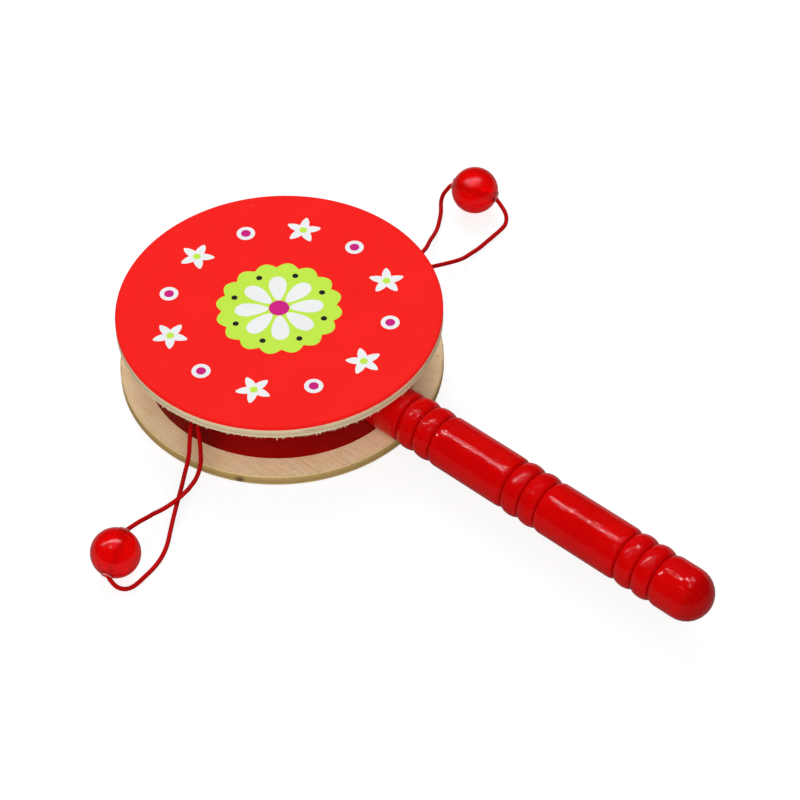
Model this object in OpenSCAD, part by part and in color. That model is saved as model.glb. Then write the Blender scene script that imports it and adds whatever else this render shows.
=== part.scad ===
// Pellet drum rattle: two plywood heads on a turned ring, a turned handle glued
// into the ring, and a bead on a loop of cord at each side that strikes the heads.
// X runs along the handle, Z is up, and the origin is the middle of the back face.

/* [Heads] */
// Diameter of each plywood head
head_d = 80; // [76:1:90]
// Thickness of each plywood head
head_t = 3; // [2:0.5:5]
// Bevel sanded on the edges of a head
head_bevel = 0.3; // [0.1:0.1:0.6]
// Thickness of the printed film on each outer face
film_t = 0.1; // [0.05:0.05:0.3]
// Bare wood left between the film and the edge of the head
film_inset = 0.3; // [0.1:0.1:1]

/* [Drum ring] */
// Outer diameter of the ring between the heads
ring_d = 68; // [64:1:70]
// Wall of the ring
ring_wall = 4; // [3:0.5:6]
// Height of the ring
ring_h = 13.8; // [13.5:0.1:18]
// Depth of the flat seat that the handle stands on
seat_depth = 0.8; // [0.7:0.1:1.2]
// Diameter of each hole for the cord
cord_hole_d = 3.3; // [3.1:0.1:4]
// Distance of the cord holes from the middle, towards the handle
cord_hole_x = 4; // [2:0.5:6]

/* [Handle] */
// Diameter of the tenon in the ring
tenon_d = 8; // [6:0.5:9]
// Length of the tenon
tenon_l = 4.6; // [4:0.1:8]
// Length of the neck, from the ring to the first turned band
neck_l = 9.4; // [9:0.1:14]
// Diameter of the neck
neck_d = 12.8; // [12:0.1:12.9]
// Diameter at the bottom of the grooves
groove_d = 11; // [10:0.1:11.8]
// Width of one turned band
band_w = 5; // [4:0.1:6]
// Diameter of the two bands next to the drum
inner_band_d = 13.3; // [12.2:0.1:14]
// Diameter of the two bands in the middle
middle_band_d = 13.6; // [12.2:0.1:14]
// Diameter of the two bands next to the knob
outer_band_d = 13.6; // [12.2:0.1:14]
// Length of the grip next to the drum
inner_grip_l = 22.4; // [18:0.1:40]
// Length of the grip next to the knob
outer_grip_l = 23.8; // [18:0.1:40]
// Diameter of the grip next to the drum
inner_grip_d = 13.1; // [12.2:0.1:14]
// Diameter of the grip next to the knob
outer_grip_d = 13.3; // [12.2:0.1:14]
// Length over which a grip rounds down into its groove
grip_round = 1.8; // [1:0.1:4]
// Diameter of the knob at the end
knob_d = 13.1; // [12:0.1:14]
// Length of the knob, its round end included
knob_l = 13.6; // [10:0.1:20]

/* [Beads] */
// Diameter of each bead
bead_d = 12; // [10:0.5:13]
// Diameter of the bore through a bead
bore_d = 2; // [1.8:0.1:2.4]
// Bevel at each mouth of the bore
bore_bevel = 0.4; // [0.3:0.1:0.5]
// Place of the left bead, from the middle towards the handle
left_bead_x = 15.2; // [14:0.1:17]
// Distance of the left bead from the handle's line
left_bead_y = 73.8; // [73:0.1:76]
// Heading of the left bead's bore, from X
left_bore_heading = -70; // [-75:1:-65]
// Slope of the left bead's bore towards its outer mouth
left_bore_slope = -22; // [-27:1:-17]
// Place of the right bead, from the middle towards the handle
right_bead_x = 0; // [-1:0.1:2]
// Distance of the right bead from the handle's line
right_bead_y = 73.7; // [73:0.1:76]
// Heading of the right bead's bore, from X
right_bore_heading = 24; // [19:1:29]
// Slope of the right bead's bore towards its outer mouth
right_bore_slope = -9; // [-14:1:-4]

/* [Cords] */
// Diameter of the cord
cord_d = 1.1; // [1:0.1:1.2]
// Diameter of the knot behind each hole
knot_d = 4.8; // [4.2:0.1:6]
// Length of the knot
knot_l = 4; // [3:0.1:6]

/* [Hidden] */

// Fit of the tenon in its hole, on the radius, filled by glue
glue_gap = 0.05;
// Room round the neck in its seat, on the radius
seat_gap = 0.2;
// Length by which every cut runs past what it cuts
overrun = 1;
// Half of the gap left in the cord where it bends
bend_gap = 0.4;
// Length of the tapered tip on each side of a bend
tip_l = 0.7;
// Share of the cord's radius that is left at the end of a tapered tip
tip_share = 0.4;
// Room between the strands and the wall of their hole
hole_gap = 0.2;
// Straight stretch of the strands past the mouth of their hole
hole_lead = 0.7;
// Margin of the knot's flat end round the two strands
knot_margin = 0.1;
// Gap between the knot's flat end and the ring's inner wall
knot_gap = 0.2;

// Heights of the layers
back_head_z = film_t;
ring_z = back_head_z + head_t;
front_head_z = ring_z + ring_h;
front_film_z = front_head_z + head_t;
mid_z = ring_z + ring_h / 2;

// Radii and places
film_r = head_d / 2 - head_bevel - film_inset;
ring_r = ring_d / 2;
bore_r = bore_d / 2;
bead_r = bead_d / 2;
cord_r = cord_d / 2;
seat_x = ring_r - seat_depth;
ring_inner_r = ring_r - ring_wall;

// Strands side by side in the ring's hole, from the knot's flat end to past the hole's mouth
strand_gap = cord_hole_d - cord_d - 2 * hole_gap;
strand_a_x = cord_hole_x - strand_gap / 2;
strand_b_x = cord_hole_x + strand_gap / 2;
knot_end_d = strand_gap + cord_d + 2 * knot_margin;
knot_seat_y = sqrt(pow(ring_inner_r, 2) - pow(cord_hole_x + knot_end_d / 2, 2)) - knot_gap;
hole_mouth_y = ring_r + hole_lead;

// Facets of round pieces, and steps of a curved outline
round_fn = 128;
small_fn = 48;
cord_sides = 8;
curve_steps = 8;

// Colours
wood = "BurlyWood";
print_red = "#E3241B";
paint_red = "#9C0F12";
handle_red = "#C4161A";
cord_red = "#A8101A";
bead_red = [0.85, 0.05, 0.1, 0.8];

// Routes of the cord, one point for each ring of the tube.
// Strand a lies nearer the table at the left bead, strand b enters its upper mouth.
left_root_a = [
    [strand_a_x, -knot_seat_y, mid_z], [strand_a_x, -hole_mouth_y, mid_z],
    [3.9, -36.2, 9.9], [5.6, -38.4, 8.8], [7.7, -41.2, 6.5]
];
left_root_b = [
    [strand_b_x, -knot_seat_y, mid_z], [strand_b_x, -hole_mouth_y, mid_z],
    [6.5, -36.1, 9.1], [9, -38.4, 7.5], [11.6, -41.2, 6.5]
];
left_link_a = [[7.7, -41.2, 6.5], [9.6, -44.9, 4.3], [12.5, -50, 2.9], [15.5, -54.9, 2.4]];
left_link_b = [
    [11.6, -41.2, 6.5], [13.3, -44.6, 5.6], [13.9, -48, 5], [13.5, -51.5, 4.1], [11.9, -54.9, 2.4]
];
left_loop_b = [[11.9, -54.9, 2.4], [11.6, -57.4, 2.9], [12.1, -60.3, 4.3], [12.8, -63.5, 6.1]];
left_loop_a = [
    [22.1, -72, 0.7], [21.8, -68.4, 0.7], [21, -65, 0.7],
    [19.4, -61.4, 0.8], [17.3, -57.9, 1.6], [15.5, -54.9, 2.4]
];
right_root_a = [
    [strand_a_x, knot_seat_y, mid_z], [strand_a_x, hole_mouth_y, mid_z],
    [3.2, 36.6, 9.6], [3.7, 38.8, 8.3], [4.2, 41.3, 6.5]
];
right_root_b = [
    [strand_b_x, knot_seat_y, mid_z], [strand_b_x, hole_mouth_y, mid_z],
    [5.3, 36.6, 9.6], [6.4, 38.8, 8.3], [7.6, 41.3, 6.5]
];
right_link_a = [[4.2, 41.3, 6.5], [4.2, 45.6, 4.9], [2.9, 50.5, 3.7], [0.8, 55.2, 2.4]];
right_link_b = [[7.6, 41.3, 6.5], [9.2, 45.7, 5.3], [10.5, 50.5, 3.7], [11.4, 55.2, 2.4]];
right_loop_a = [
    [0.8, 55.2, 2.4], [-0.3, 57.8, 1.6], [-1.5, 60.5, 1.1], [-3.2, 63.4, 1], [-4.8, 65.8, 1.2]
];
right_loop_b = [
    [11.2, 68, 0.9], [11.1, 65.4, 0.7], [11.1, 62.3, 0.7], [11.1, 59, 1.2], [11.4, 55.2, 2.4]
];
// Points of the routes by a bead: X and Y from its middle, and the height
left_out = [[4.6, -5.1, 2.2], [5.6, -4.6, 1.6], [6.5, -3.5, 1.1], [6.9, -2.1, 0.8], [7, -0.5, 0.7]];
right_in = [[-6.5, -5.8, 2.3], [-6.65, -4.7, 3.9]];
right_out = [[8, 1.3, 4], [9.5, 0.8, 3.3], [10.7, -0.1, 2.6], [11.4, -1.4, 1.9], [11.4, -3.2, 1.3]];
// Directions into which the cord turns as it leaves a bead's mouths
left_in_way = [-0.05, 0.91, -0.42];
left_out_way = [0.95, -0.02, -0.42];
right_in_way = [-0.14, -0.5, -0.85];
right_out_way = [0.82, -0.18, -0.54];
// Depth inside a mouth at which the cord starts to turn, and the radius of its turn
turn_depth = 1.5;
turn_r = 2.4;
turn_steps = 3;

// Unit vector from p to q
function towards(p, q) = (q - p) / norm(q - p);
// Direction of a bore from its heading and slope
function bore_dir(heading, slope) =
    [cos(slope) * cos(heading), cos(slope) * sin(heading), sin(slope)];
// Points of a route by a bead, moved to where the bead lies
function by_bead(middle, points) =
    [for (p = points) [middle[0] + p[0], middle[1] + p[1], p[2]]];
// Points of a turn at a mouth of a bead, from the direction dir into the direction way
function mouth_turn(middle, dir, way) =
    let (angle = acos(dir * way / norm(way)), side = towards(dir * (dir * way), way))
    [for (i = [1 : turn_steps]) let (a = angle * i / turn_steps)
        middle + dir * (bore_reach + turn_r * sin(a)) + side * turn_r * (1 - cos(a))];
function reversed(points) = [for (i = [len(points) - 1 : -1 : 0]) points[i]];
// Points of a route on the axis of a bead's bore
function through_bead(middle, dir) = [for (k = [-1, 0, 1]) middle + dir * k * bore_reach];

left_bead_at = [left_bead_x, -left_bead_y, bead_r];
right_bead_at = [right_bead_x, right_bead_y, bead_r];
left_bore = bore_dir(left_bore_heading, left_bore_slope);
right_bore = bore_dir(right_bore_heading, right_bore_slope);
bore_reach = bead_r - turn_depth;

left_loop = concat(left_loop_b,
    reversed(mouth_turn(left_bead_at, -left_bore, left_in_way)),
    through_bead(left_bead_at, left_bore), mouth_turn(left_bead_at, left_bore, left_out_way),
    by_bead(left_bead_at, left_out), left_loop_a);
right_loop = concat(right_loop_a, by_bead(right_bead_at, right_in),
    reversed(mouth_turn(right_bead_at, -right_bore, right_in_way)),
    through_bead(right_bead_at, right_bore), mouth_turn(right_bead_at, right_bore, right_out_way),
    by_bead(right_bead_at, right_out), right_loop_b);

// A bend in the cord: the first or the last point of a route becomes a tapered tip
function tip_points(end, next) =
    [for (s = [bend_gap, bend_gap + tip_l]) end + towards(end, next) * s];
function from_bend(route) =
    concat(tip_points(route[0], route[1]), [for (i = [1 : len(route) - 1]) route[i]]);
function to_bend(route) =
    let (n = len(route), tip = tip_points(route[n - 1], route[n - 2]))
    concat([for (i = [0 : n - 2]) route[i]], [tip[1], tip[0]]);
// Radius of the ring at one point of a route, small at a tapered tip
function ring_radius(i, n, bend_first, bend_last) =
    (bend_first && i == 0) || (bend_last && i == n - 1) ? cord_r * tip_share : cord_r;
// Direction of a route at its point i
function heading_at(route, i) = let (n = len(route))
    towards(route[max(i - 1, 0)], route[min(i + 1, n - 1)]);

// Tube along a route, one ring of sides for each point
module cord_tube(route, bend_first = false, bend_last = false) {
    n = len(route);
    points = [for (i = [0 : n - 1])
        let (t = heading_at(route, i),
             side = cross(t, [0, 0, 1]) / norm(cross(t, [0, 0, 1])),
             up = cross(side, t),
             r = ring_radius(i, n, bend_first, bend_last))
        for (k = [0 : cord_sides - 1])
            let (a = 360 * (k + 1 / 2) / cord_sides)
            route[i] + side * r * cos(a) + up * r * sin(a)];
    walls = [for (i = [0 : n - 2], k = [0 : cord_sides - 1])
        let (a = i * cord_sides + k, b = i * cord_sides + (k + 1) % cord_sides)
        each [[a, b, b + cord_sides], [a, b + cord_sides, a + cord_sides]]];
    first = [for (k = [cord_sides - 1 : -1 : 0]) k];
    last = [for (k = [0 : cord_sides - 1]) (n - 1) * cord_sides + k];
    polyhedron(points, concat([first], walls, [last]), convexity = 4);
}

// Outline of the turned handle, as distance from the ring's seat and radius
groove_r = groove_d / 2;
band_1 = neck_l;
grip_1 = band_1 + 2 * band_w;
band_3 = grip_1 + inner_grip_l;
grip_2 = band_3 + 2 * band_w;
band_5 = grip_2 + outer_grip_l;
knob_1 = band_5 + 2 * band_w;
handle_l = knob_1 + knob_l;
knob_r = knob_d / 2;
neck_round = 1.2;
knob_round = 2.4;
// Radius of the small flat that the lathe leaves at the knob's end
lathe_mark_r = 0.2;
tenon_bevel = 0.5;
// Rise from a groove to a radius over a length, without its last point
function rise(at, length, radius) = [for (i = [0 : curve_steps - 1])
    let (a = 90 * i / curve_steps)
    [at + length * (1 - cos(a)), groove_r + (radius - groove_r) * sin(a)]];
// Fall from a radius to a groove over a length, without the groove's point
function fall(at, length, radius) = [for (i = [0 : curve_steps - 1])
    let (a = 90 * i / curve_steps)
    [at + length * sin(a), groove_r + (radius - groove_r) * cos(a)]];
function band(at, diameter) =
    concat(rise(at, band_w / 2, diameter / 2), fall(at + band_w / 2, band_w / 2, diameter / 2));
function grip(at, length, diameter) =
    concat(rise(at, grip_round, diameter / 2), fall(at + length - grip_round, grip_round, diameter / 2));
handle_outline = concat(
    [[-tenon_l, 0], [-tenon_l, tenon_d / 2 - tenon_bevel], [-tenon_l + tenon_bevel, tenon_d / 2],
     [0, tenon_d / 2], [0, neck_d / 2]],
    fall(neck_l - neck_round, neck_round, neck_d / 2),
    band(band_1, inner_band_d), band(band_1 + band_w, inner_band_d),
    grip(grip_1, inner_grip_l, inner_grip_d),
    band(band_3, middle_band_d), band(band_3 + band_w, middle_band_d),
    grip(grip_2, outer_grip_l, outer_grip_d),
    band(band_5, outer_band_d), band(band_5 + band_w, outer_band_d),
    rise(knob_1, knob_round, knob_r),
    [for (i = [0 : curve_steps - 1]) let (a = 90 * i / curve_steps)
        [handle_l - knob_r + knob_r * sin(a), knob_r * cos(a)]],
    [[handle_l, lathe_mark_r], [handle_l, 0]]
);

module head(z) {
    r = head_d / 2;
    color(wood) translate([0, 0, z]) rotate_extrude($fn = round_fn) polygon([
        [0, 0], [r - head_bevel, 0], [r, head_bevel], [r, head_t - head_bevel],
        [r - head_bevel, head_t], [0, head_t]
    ]);
}

module film(z) {
    color(print_red) translate([0, 0, z]) cylinder(h = film_t, r = film_r, $fn = round_fn);
}

// Rod along X, from x0 to x1
module rod_x(x0, x1, d) {
    translate([x0, 0, mid_z]) rotate([0, 90, 0]) cylinder(h = x1 - x0, d = d, $fn = small_fn);
}

module drum_ring() {
    hole_reach = ring_r + overrun;
    color(paint_red) difference() {
        translate([0, 0, ring_z]) cylinder(h = ring_h, r = ring_r, $fn = round_fn);
        translate([0, 0, ring_z - overrun])
            cylinder(h = ring_h + 2 * overrun, r = ring_inner_r, $fn = round_fn);
        rod_x(seat_x - ring_wall - overrun, hole_reach, tenon_d + 2 * glue_gap);
        rod_x(seat_x, hole_reach, neck_d + 2 * seat_gap);
        translate([cord_hole_x, hole_reach, mid_z]) rotate([90, 0, 0])
            cylinder(h = 2 * hole_reach, d = cord_hole_d, $fn = small_fn);
    }
}

module handle() {
    color(handle_red) translate([seat_x, 0, mid_z]) rotate([0, 90, 0])
        rotate_extrude($fn = round_fn) polygon([for (p = handle_outline) [p[1], p[0]]]);
}

// Bead with its bore along a heading and a slope
module bead(middle, heading, slope) {
    mouth = sqrt(bead_r * bead_r - bore_r * bore_r);
    color(bead_red) translate(middle) rotate([0, 90 - slope, heading]) difference() {
        sphere(r = bead_r, $fn = small_fn);
        cylinder(h = 2 * (bead_r + overrun), r = bore_r, center = true, $fn = small_fn);
        for (flip = [0, 180]) rotate([flip, 0, 0]) translate([0, 0, mouth - bore_bevel])
            cylinder(h = 2 * bore_bevel, r1 = bore_r, r2 = bore_r + 2 * bore_bevel, $fn = small_fn);
    }
}

// Knot behind the ring's wall, its flat end against the strands; side is -1 or 1
module knot(side) {
    end_r = knot_end_d / 2;
    swell = knot_d / 2 - end_r;
    steps = curve_steps;
    color(cord_red) translate([cord_hole_x, side * knot_seat_y, mid_z]) rotate([side * 90, 0, 0])
        rotate_extrude($fn = small_fn) polygon(concat([[0, 0]],
            [for (i = [0 : 2 * steps]) let (a = 90 * i / steps)
                [end_r + swell * sin(a), knot_l * (1 - cos(a)) / 2]],
            [[0, knot_l]]));
}

module cord_root(a, b) {
    color(cord_red) {
        cord_tube(to_bend(a), bend_last = true);
        cord_tube(to_bend(b), bend_last = true);
    }
}

module cord_link(a, b) {
    color(cord_red) {
        cord_tube(from_bend(to_bend(a)), bend_first = true, bend_last = true);
        cord_tube(from_bend(to_bend(b)), bend_first = true, bend_last = true);
    }
}

module cord_loop(route) {
    color(cord_red) cord_tube(from_bend(to_bend(route)), bend_first = true, bend_last = true);
}

module back_film() { film(0); }
module back_head() { head(back_head_z); }
module front_head() { head(front_head_z); }
module front_film() { film(front_film_z); }
module left_knot() { knot(-1); }
module right_knot() { knot(1); }
module left_cord_root() { cord_root(left_root_a, left_root_b); }
module right_cord_root() { cord_root(right_root_a, right_root_b); }
module left_cord_link() { cord_link(left_link_a, left_link_b); }
module right_cord_link() { cord_link(right_link_a, right_link_b); }
module left_cord_loop() { cord_loop(left_loop); }
module right_cord_loop() { cord_loop(right_loop); }
module left_bead() { bead(left_bead_at, left_bore_heading, left_bore_slope); }
module right_bead() { bead(right_bead_at, right_bore_heading, right_bore_slope); }

back_film();
back_head();
drum_ring();
front_head();
front_film();
handle();
left_knot();
left_cord_root();
left_cord_link();
left_cord_loop();
left_bead();
right_knot();
right_cord_root();
right_cord_link();
right_cord_loop();
right_bead();
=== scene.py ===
"""Dressed model of a pellet drum rattle, lying on its back head.

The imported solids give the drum, the handle and the beads their sizes and places. This file
gives them their finishes, prints the two faces, frays the sawn edges, and lays one cord at
each side, from its knot behind the ring's wall, through its bead and back.
"""
from __future__ import annotations

import logging
import math
from collections.abc import Sequence
from dataclasses import dataclass, replace
from enum import Enum

import bpy
import numpy as np
from mathutils import Matrix, Vector

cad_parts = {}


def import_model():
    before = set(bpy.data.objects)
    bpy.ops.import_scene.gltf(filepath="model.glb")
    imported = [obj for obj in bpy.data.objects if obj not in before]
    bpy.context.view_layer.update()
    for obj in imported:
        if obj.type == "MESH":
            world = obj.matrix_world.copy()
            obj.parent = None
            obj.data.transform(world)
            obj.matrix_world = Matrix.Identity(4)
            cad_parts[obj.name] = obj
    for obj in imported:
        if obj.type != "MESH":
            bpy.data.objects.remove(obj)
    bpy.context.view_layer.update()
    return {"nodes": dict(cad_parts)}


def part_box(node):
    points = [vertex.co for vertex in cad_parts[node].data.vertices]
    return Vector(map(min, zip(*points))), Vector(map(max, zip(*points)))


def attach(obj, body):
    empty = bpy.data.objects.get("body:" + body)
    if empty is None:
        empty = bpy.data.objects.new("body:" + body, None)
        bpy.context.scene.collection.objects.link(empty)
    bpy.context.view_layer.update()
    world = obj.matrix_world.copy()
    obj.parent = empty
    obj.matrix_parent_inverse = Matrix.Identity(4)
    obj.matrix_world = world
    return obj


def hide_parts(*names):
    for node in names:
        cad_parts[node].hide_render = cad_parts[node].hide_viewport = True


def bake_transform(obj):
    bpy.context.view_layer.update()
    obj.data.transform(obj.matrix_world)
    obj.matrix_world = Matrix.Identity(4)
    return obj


log = logging.getLogger("rattle")
Point = tuple[float, float, float]
Spot = tuple[float, float]
Colour = tuple[float, float, float]
Face = tuple[int, ...]

MM = 0.001
# Centimetres in a metre, for lengths along a cord
PER_CM = 100.0
# Turn of the plywood's grain about Z, in radians
GRAIN_TURN = 0.35
# Red of the printed faces, which also covers the bevel round each
PRINT_RED: Colour = (0.90, 0.009, 0.006)


class Side(Enum):
    """The two sides of the drum, as seen from the front with the handle down."""

    LEFT = "left"
    RIGHT = "right"


class Ink(Enum):
    """Inks of the print on the faces."""

    WHITE = "white"
    LIME = "lime"
    MAGENTA = "magenta"
    BLACK = "black"


def add_mesh(name: str, points: np.ndarray, faces: Sequence[Sequence[int]],
             finish: bpy.types.Material, smooth: bool = True) -> bpy.types.Object:
    """Make a mesh object and link it to the scene.

    Args:
        name: Name of the piece.
        points: Vertices in metres.
        faces: Vertex numbers of each face.
        finish: Material of the whole piece.
        smooth: Whether the faces are shaded smooth.

    Returns:
        The new object.
    """
    mesh = bpy.data.meshes.new(name)
    mesh.from_pydata([tuple(map(float, p)) for p in points], [], [tuple(f) for f in faces])
    mesh.polygons.foreach_set("use_smooth", [smooth] * len(mesh.polygons))
    mesh.materials.append(finish)
    mesh.update()
    piece = bpy.data.objects.new(name, mesh)
    bpy.context.scene.collection.objects.link(piece)
    return piece


def smooth_route(points: Sequence[Point], step: float) -> np.ndarray:
    """Draw a smooth line through the points of a route.

    The curve's parameter grows with the square root of the distance between two points,
    which keeps tight turns free of kinks and small loops.

    Args:
        points: Points of the route, in metres.
        step: Rough distance between two points of the line.

    Returns:
        Points of the line, in metres.
    """
    p = np.array(points, float)
    p = np.vstack([2 * p[0] - p[1], p, 2 * p[-1] - p[-2]])
    line: list[np.ndarray] = []
    for a, b, c, d in zip(p[:-3], p[1:-2], p[2:-1], p[3:]):
        t1 = math.sqrt(np.linalg.norm(b - a))
        t2 = t1 + math.sqrt(np.linalg.norm(c - b))
        t3 = t2 + math.sqrt(np.linalg.norm(d - c))
        steps = max(2, math.ceil(np.linalg.norm(c - b) / step))
        for t in np.linspace(t1, t2, steps + 1)[:-1]:
            ab = (a * (t1 - t) + b * t) / t1
            bc = (b * (t2 - t) + c * (t - t1)) / (t2 - t1)
            cd = (c * (t3 - t) + d * (t - t2)) / (t3 - t2)
            abc = (ab * (t2 - t) + bc * t) / t2
            bcd = (bc * (t3 - t) + cd * (t - t1)) / (t3 - t1)
            line.append((abc * (t2 - t) + bcd * (t - t1)) / (t2 - t1))
    line.append(p[-2])
    return np.array(line)


def line_length(line: np.ndarray) -> float:
    """Return the length of a line of points."""
    return float(np.linalg.norm(np.diff(line, axis=0), axis=1).sum())


def tube(lines: Sequence[np.ndarray], radius: float, sides: int,
         closed: bool = False) -> tuple[np.ndarray, list[Face], list[list[Spot]]]:
    """Sweep a round tube along each line, with a UV map along and round it.

    Args:
        lines: Centre lines, in metres.
        radius: Radius of the tube.
        sides: Sides of the tube.
        closed: Whether each line joins its own start.

    Returns:
        Vertices, faces, and for each face the UVs of its corners: centimetres along the
        line, and share of a turn round it.
    """
    points: list[np.ndarray] = []
    faces: list[Face] = []
    uvs: list[list[Spot]] = []
    closing = 0.04  # centimetres that the map gives to the step which closes a line
    for line in lines:
        start, n = len(points), len(line)
        ahead = np.roll(line, -1, axis=0) - np.roll(line, 1, axis=0)
        if not closed:
            ahead[0], ahead[-1] = line[1] - line[0], line[-1] - line[-2]
        ahead /= np.linalg.norm(ahead, axis=1)[:, None]
        side = np.cross(ahead[0], (0.0, 0.0, 1.0))
        side /= np.linalg.norm(side)
        steps = np.linalg.norm(np.diff(line, axis=0), axis=1)
        along = np.concatenate([[0.0], np.cumsum(steps)]) * PER_CM
        for centre, way in zip(line, ahead):
            side = side - way * float(side @ way)
            side /= np.linalg.norm(side)
            up = np.cross(side, way)
            for k in range(sides):
                a = 2 * math.pi * k / sides
                points.append(centre + radius * (side * math.cos(a) + up * math.sin(a)))
        for i in range(n if closed else n - 1):
            j = (i + 1) % n
            u0, u1 = along[i], along[i + 1] if i + 1 < n else along[i] + closing
            for k in range(sides):
                m = (k + 1) % sides
                v0, v1 = k / sides, (k + 1) / sides
                faces.append((start + i * sides + k, start + i * sides + m,
                              start + j * sides + m, start + j * sides + k))
                uvs.append([(u0, v0), (u0, v1), (u1, v1), (u1, v0)])
        if not closed:
            for ring in (list(range(sides))[::-1], [(n - 1) * sides + k for k in range(sides)]):
                faces.append(tuple(start + k for k in ring))
                uvs.append([(0.0, 0.0)] * sides)
    return np.array(points), faces, uvs


def add_tube(name: str, lines: Sequence[np.ndarray], radius: float, finish: bpy.types.Material,
             sides: int = 12, closed: bool = False) -> bpy.types.Object:
    """Make a tube piece along one or more lines.

    Args:
        name: Name of the piece.
        lines: Centre lines, in metres.
        radius: Radius of the tube.
        finish: Material of the tube.
        sides: Sides of the tube.
        closed: Whether each line joins its own start.

    Returns:
        The new object, with a UV map that runs along the tube.
    """
    points, faces, uvs = tube(lines, radius, sides, closed)
    piece = add_mesh(name, points, faces, finish)
    layer = piece.data.uv_layers.new(name="along")
    flat = [corner for face in uvs for corner in face]
    layer.data.foreach_set("uv", [value for corner in flat for value in corner])
    return piece


@dataclass(frozen=True)
class Noise:
    """A noise fixed to a piece: its waves a metre along each axis, its make, and its turn."""

    scale: Point
    detail: float = 4.0
    rough: float = 0.55
    turn: float = 0.0

    def finer(self, times: float) -> Noise:
        """Return this noise with so many times as many waves."""
        return replace(self, scale=tuple(waves * times for waves in self.scale))


@dataclass(frozen=True)
class Band:
    """A band of a value, and the range that the value is carried into and held inside."""

    low: float
    high: float
    to_low: float = 0.0
    to_high: float = 1.0


class NodeBench:
    """A material's node tree, built up node by node."""

    # Sockets of a mix node that hold its two colours and the mixed one
    COLOUR_A, COLOUR_B, COLOUR_OUT = 6, 7, 2

    def __init__(self, name: str) -> None:
        """Start a tree that holds a Principled BSDF and its output."""
        self.material = bpy.data.materials.new(name)
        self.material.use_nodes = True
        self.tree = self.material.node_tree
        self.tree.nodes.clear()
        self.bsdf = self.tree.nodes.new("ShaderNodeBsdfPrincipled")
        out = self.tree.nodes.new("ShaderNodeOutputMaterial")
        self.tree.links.new(self.bsdf.outputs[0], out.inputs["Surface"])

    def add(self, kind: str, inputs: dict[str | int, object] | None = None,
            **settings: object) -> bpy.types.Node:
        """Add a node.

        Args:
            kind: Type of the node, without its ShaderNode prefix.
            inputs: Socket values, or sockets to link from.
            settings: Properties of the node.

        Returns:
            The new node.
        """
        node = self.tree.nodes.new("ShaderNode" + kind)
        for key, value in settings.items():
            setattr(node, key, value)
        for key, value in (inputs or {}).items():
            self.put(node.inputs[key], value)
        return node

    def put(self, socket: bpy.types.NodeSocket, value: object) -> None:
        """Link a socket, or set its value.

        Args:
            socket: Socket that takes the value.
            value: Plain value, or a socket to link from.
        """
        if isinstance(value, bpy.types.NodeSocket):
            self.tree.links.new(value, socket)
        else:
            socket.default_value = value

    def surface(self, name: str, value: object) -> None:
        """Give one of the shader's own sockets a value, or link it."""
        self.put(self.bsdf.inputs[name], value)

    def here(self) -> bpy.types.NodeSocket:
        """Return the piece's own coordinates, in metres."""
        return self.add("TexCoord").outputs["Object"]

    def noise(self, noise: Noise) -> bpy.types.NodeSocket:
        """Return the value of a noise.

        Args:
            noise: The noise.

        Returns:
            Its value, which lies between 0 and 1.
        """
        place = self.add("Mapping", {"Vector": self.here(), "Scale": noise.scale,
                                     "Rotation": (0.0, 0.0, noise.turn)}).outputs[0]
        return self.add("TexNoise", {"Vector": place, "Scale": 1.0, "Detail": noise.detail,
                                     "Roughness": noise.rough}).outputs["Fac"]

    def span(self, value: bpy.types.NodeSocket, band: Band) -> bpy.types.NodeSocket:
        """Return a value carried from a band into its range.

        Args:
            value: The value.
            band: Its band, whose low level may be the larger number.

        Returns:
            The value inside the range.
        """
        return self.add("MapRange", {"Value": value, "From Min": band.low, "From Max": band.high,
                                     "To Min": band.to_low, "To Max": band.to_high}
                        ).outputs["Result"]

    def mix(self, share: bpy.types.NodeSocket, a: object, b: object) -> bpy.types.NodeSocket:
        """Return a mix of two colours.

        Args:
            share: Share of the second colour.
            a: First colour, or a socket of it.
            b: Second colour, or a socket of it.

        Returns:
            The mixed colour.
        """
        node = self.add("Mix", data_type="RGBA")
        self.put(node.inputs["Factor"], share)
        for number, value in ((self.COLOUR_A, a), (self.COLOUR_B, b)):
            colour = value if isinstance(value, bpy.types.NodeSocket) else (*value, 1.0)
            self.put(node.inputs[number], colour)
        return node.outputs[self.COLOUR_OUT]

    def math(self, kind: str, a: object, b: object = 0.0) -> bpy.types.NodeSocket:
        """Return the result of a math node."""
        return self.add("Math", {0: a, 1: b}, operation=kind).outputs[0]

    def bump(self, height: bpy.types.NodeSocket, depth: float) -> None:
        """Roughen the surface by a height, whose full range is the depth in metres."""
        node = self.add("Bump", {"Height": height, "Strength": 1.0, "Distance": depth})
        self.surface("Normal", node.outputs[0])


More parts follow.
